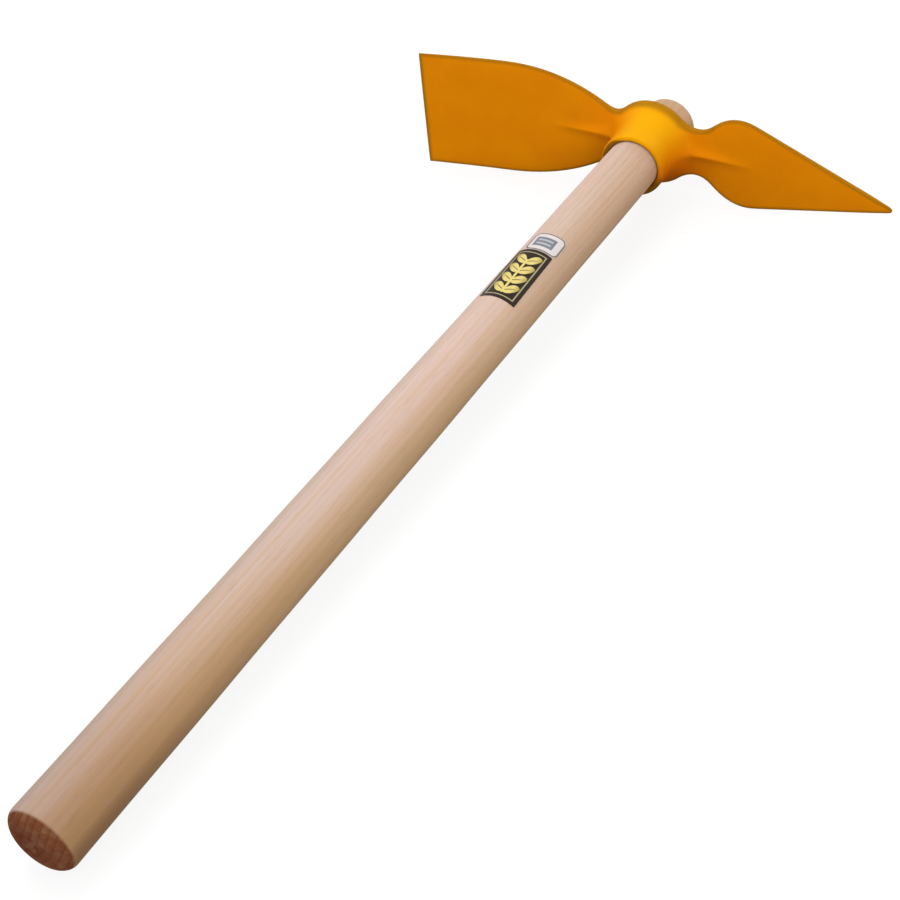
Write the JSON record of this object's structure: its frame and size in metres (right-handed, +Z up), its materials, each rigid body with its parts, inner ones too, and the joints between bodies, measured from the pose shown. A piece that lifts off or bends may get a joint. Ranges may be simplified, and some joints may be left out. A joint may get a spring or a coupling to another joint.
{
  "type": "grub hoe",
  "caption": "Short-handled grub hoe: forged, painted head with a broad blade and a pointed blade curving out from a flared round eye, wedged on a turned wooden handle.",
  "frame": {"origin": "on the ground under the middle of the lying tool's box", "axes": "+X towards the pointed blade, +Y along the handle from the butt to the head, +Z up, with the tool lying on one side of each blade and on its butt"},
  "size_m": [0.3118, 0.6005, 0.0815],
  "materials": {
    "head_paint": "orange enamel over forged steel, satin, slightly uneven",
    "handle_wood": "turned beech, bare, fine grain with ray flecks",
    "wedge_wood": "split hardwood, bare",
    "wedge_steel": "mild steel, dull",
    "label_film": "printed film, dark with pale yellow leaves",
    "sticker_film": "pale printed film with a grey panel"
  },
  "bodies": {
    "root": {"hoe_head": "head_paint", "handle": "handle_wood", "kerf_wedge": "wedge_wood", "cross_wedge": "wedge_steel", "front_label": "label_film", "top_sticker": "sticker_film"}
  },
  "joints": []
}
